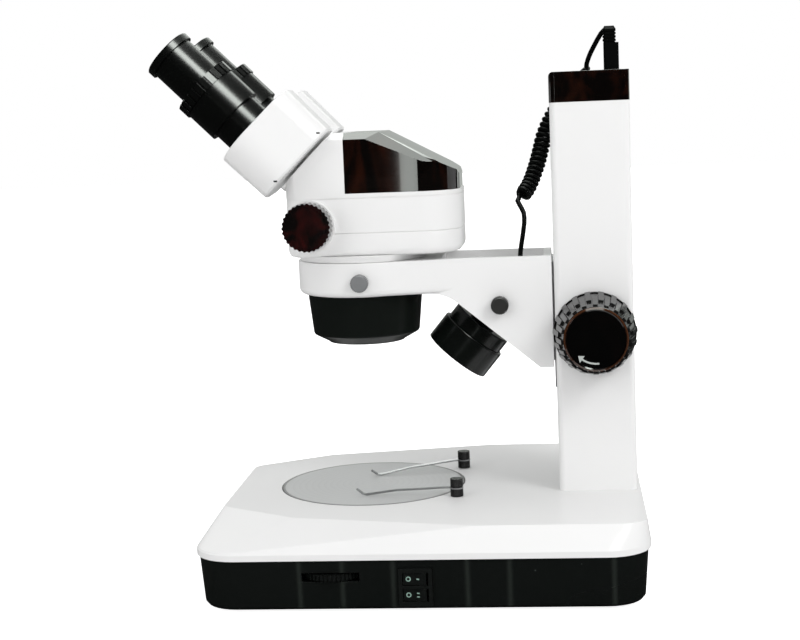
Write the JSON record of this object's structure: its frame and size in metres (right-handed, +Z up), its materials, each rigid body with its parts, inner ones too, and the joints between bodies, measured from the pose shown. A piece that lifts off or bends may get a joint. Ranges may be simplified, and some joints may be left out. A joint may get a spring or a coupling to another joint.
{
  "type": "stereo microscope",
  "caption": "Binocular zoom microscope on a focusing arm and square column, with a lit flat base, stage clips, tilting lamp and coiled lead.",
  "frame": {"origin": "on the optical axis at the underside of the bottom plate, 2.5 mm above the bench", "axes": "+X to the user's right, +Y to the rear, +Z up"},
  "size_m": [0.251, 0.3069, 0.3534],
  "materials": {
    "housing_black": "satin",
    "white_enamel": "satin",
    "stage_frost": "matte",
    "plate_grey": "matte",
    "foot_rubber": "matte",
    "zinc_steel": "satin",
    "lamp_white": "satin",
    "board_green": "satin",
    "control_black": "satin",
    "post_black": "satin",
    "spring_steel": "polished",
    "glossy_brown": "gloss",
    "guide_metal": "satin",
    "brass": "satin",
    "shaft_steel": "satin",
    "knob_black": "satin",
    "screw_grey": "satin",
    "black_satin": "satin",
    "coated_glass": "polished",
    "cable_black": "satin"
  },
  "bodies": {
    "root": {"base_housing": "housing_black", "bottom_plate": "plate_grey", "rubber_feet": "foot_rubber", "base_screws": "zinc_steel", "deck_cover": "white_enamel", "stage_plate": "stage_frost", "stage_lamp": "lamp_white", "control_board": "board_green", "power_inlet": "control_black", "switch_panel": "control_black", "column_shell": "white_enamel", "column_cap": "glossy_brown", "lead_socket": "control_black", "guide_rail": "guide_metal", "shaft_bushes": "brass", "lead_plug": "control_black", "lead_upper": "cable_black"},
    "focus_slide": {"carriage": "guide_metal", "focus_rack": "brass", "arm": "white_enamel", "lead_gland": "control_black", "lead_coil": "cable_black", "lead_lower": "cable_black"},
    "focus_knobs": {"pinion_shaft": "shaft_steel", "focus_hub_right": "knob_black", "focus_hub_left": "knob_black", "focus_grips": "knob_black", "focus_faces": "glossy_brown"},
    "ring_lock": {"ring_lock_screw": "screw_grey"},
    "lamp_lock": {"lamp_lock_screw": "post_black"},
    "lamp": {"lamp_barrel": "black_satin", "lamp_hood": "black_satin", "lamp_lens": "coated_glass"},
    "head": {"head_lower_case": "white_enamel", "head_middle_case": "white_enamel", "head_upper_case": "white_enamel", "head_hood": "glossy_brown", "objective_shroud": "black_satin", "objective_lenses": "coated_glass"},
    "zoom": {"zoom_shaft": "shaft_steel", "zoom_knobs": "glossy_brown"},
    "prism_right": {"prism_box_right": "white_enamel", "eye_tube_right": "black_satin"},
    "dioptre_right": {"dioptre_ring_right": "black_satin"},
    "eyepiece_right": {"eyepiece_right": "black_satin", "eye_lens_right": "coated_glass"},
    "prism_left": {"prism_box_left": "white_enamel", "eye_tube_left": "black_satin"},
    "dioptre_left": {"dioptre_ring_left": "black_satin"},
    "eyepiece_left": {"eyepiece_left": "black_satin", "eye_lens_left": "coated_glass"},
    "wheel_right": {"wheel_right": "control_black"},
    "wheel_left": {"wheel_left": "control_black"},
    "rocker_upper": {"rocker_upper": "control_black"},
    "rocker_lower": {"rocker_lower": "control_black"},
    "clip_right": {"clip_post_right": "post_black", "clip_spring_right": "spring_steel"},
    "clip_left": {"clip_post_left": "post_black", "clip_spring_left": "spring_steel"}
  },
  "joints": [
    {"name": "focus", "type": "slide", "parent": "root", "child": "focus_slide", "axis": [0, 0, 1], "range_m": [-0.02, 0.03], "deforming": ["lead_coil"]},
    {"name": "focus_turn", "type": "hinge", "parent": "root", "child": "focus_knobs", "pos_m": [0, 0.1497, 0.1522], "axis": [1, 0, 0], "range_deg": [-240, 160]},
    {"name": "ring_lock_turn", "type": "hinge", "parent": "focus_slide", "child": "ring_lock", "pos_m": [0.045, 0.002, 0.18925], "axis": [1, 0, 0], "range_deg": [0, 540]},
    {"name": "lamp_lock_turn", "type": "hinge", "parent": "focus_slide", "child": "lamp_lock", "pos_m": [0, 0.0899, 0.1713], "axis": [1, 0, 0], "range_deg": [0, 540]},
    {"name": "lamp_tilt", "type": "hinge", "parent": "focus_slide", "child": "lamp", "pos_m": [0, 0.0899, 0.1713], "axis": [1, 0, 0], "range_deg": [-10, 10]},
    {"name": "head_turn", "type": "hinge", "parent": "focus_slide", "child": "head", "pos_m": [0, 0, 0.19], "axis": [0, 0, 1], "range_deg": [-120, 120]},
    {"name": "zoom_turn", "type": "hinge", "parent": "head", "child": "zoom", "pos_m": [0, -0.0292, 0.2262], "axis": [1, 0, 0], "range_deg": [-135, 135]},
    {"name": "prism_right_swing", "type": "hinge", "parent": "head", "child": "prism_right", "pos_m": [0.014, -0.03064, 0.26706], "axis": [0, -0.7071, 0.7071], "range_deg": [-28, 22]},
    {"name": "prism_left_swing", "type": "hinge", "parent": "head", "child": "prism_left", "pos_m": [-0.014, -0.03064, 0.26706], "axis": [0, -0.7071, 0.7071], "range_deg": [-22, 28]},
    {"name": "dioptre_right_turn", "type": "hinge", "parent": "prism_right", "child": "dioptre_right", "pos_m": [0.0344, -0.09223, 0.31521], "axis": [0, -0.7071, 0.7071], "range_deg": [-150, 150]},
    {"name": "eyepiece_right_slide", "type": "slide", "parent": "prism_right", "child": "eyepiece_right", "axis": [0, -0.7071, 0.7071], "range_m": [-0.0025, 0.0025]},
    {"name": "dioptre_left_turn", "type": "hinge", "parent": "prism_left", "child": "dioptre_left", "pos_m": [-0.0344, -0.09223, 0.31521], "axis": [0, -0.7071, 0.7071], "range_deg": [-150, 150]},
    {"name": "eyepiece_left_slide", "type": "slide", "parent": "prism_left", "child": "eyepiece_left", "axis": [0, -0.7071, 0.7071], "range_m": [-0.0025, 0.0025]},
    {"name": "wheel_right_turn", "type": "hinge", "parent": "root", "child": "wheel_right", "pos_m": [0.1055, -0.0137, 0.0206], "axis": [0, 0, 1], "range_deg": [0, 270]},
    {"name": "wheel_left_turn", "type": "hinge", "parent": "root", "child": "wheel_left", "pos_m": [-0.1055, -0.0137, 0.0206], "axis": [0, 0, 1], "range_deg": [0, 270]},
    {"name": "rocker_upper_tip", "type": "hinge", "parent": "root", "child": "rocker_upper", "pos_m": [0.1205, 0.0376, 0.0191], "axis": [0, 0, 1], "range_deg": [0, 16]},
    {"name": "rocker_lower_tip", "type": "hinge", "parent": "root", "child": "rocker_lower", "pos_m": [0.1205, 0.0376, 0.0093], "axis": [0, 0, 1], "range_deg": [0, 16]},
    {"name": "clip_right_turn", "type": "hinge", "parent": "root", "child": "clip_right", "pos_m": [0.0405, 0.0587, 0.052], "axis": [0, 0, 1], "range_deg": [-40, 120]},
    {"name": "clip_left_turn", "type": "hinge", "parent": "root", "child": "clip_left", "pos_m": [-0.0405, 0.0587, 0.052], "axis": [0, 0, 1], "range_deg": [-120, 25]}
  ],
  "couplings": [
    {"joint": "focus_turn", "follows": "focus", "rad_per_m": -138.89},
    {"joint": "prism_left_swing", "follows": "prism_right_swing", "ratio": -1},
    {"joint": "dioptre_right_turn", "follows": "eyepiece_right_slide", "rad_per_m": 1047.2},
    {"joint": "dioptre_left_turn", "follows": "eyepiece_left_slide", "rad_per_m": 1047.2}
  ]
}
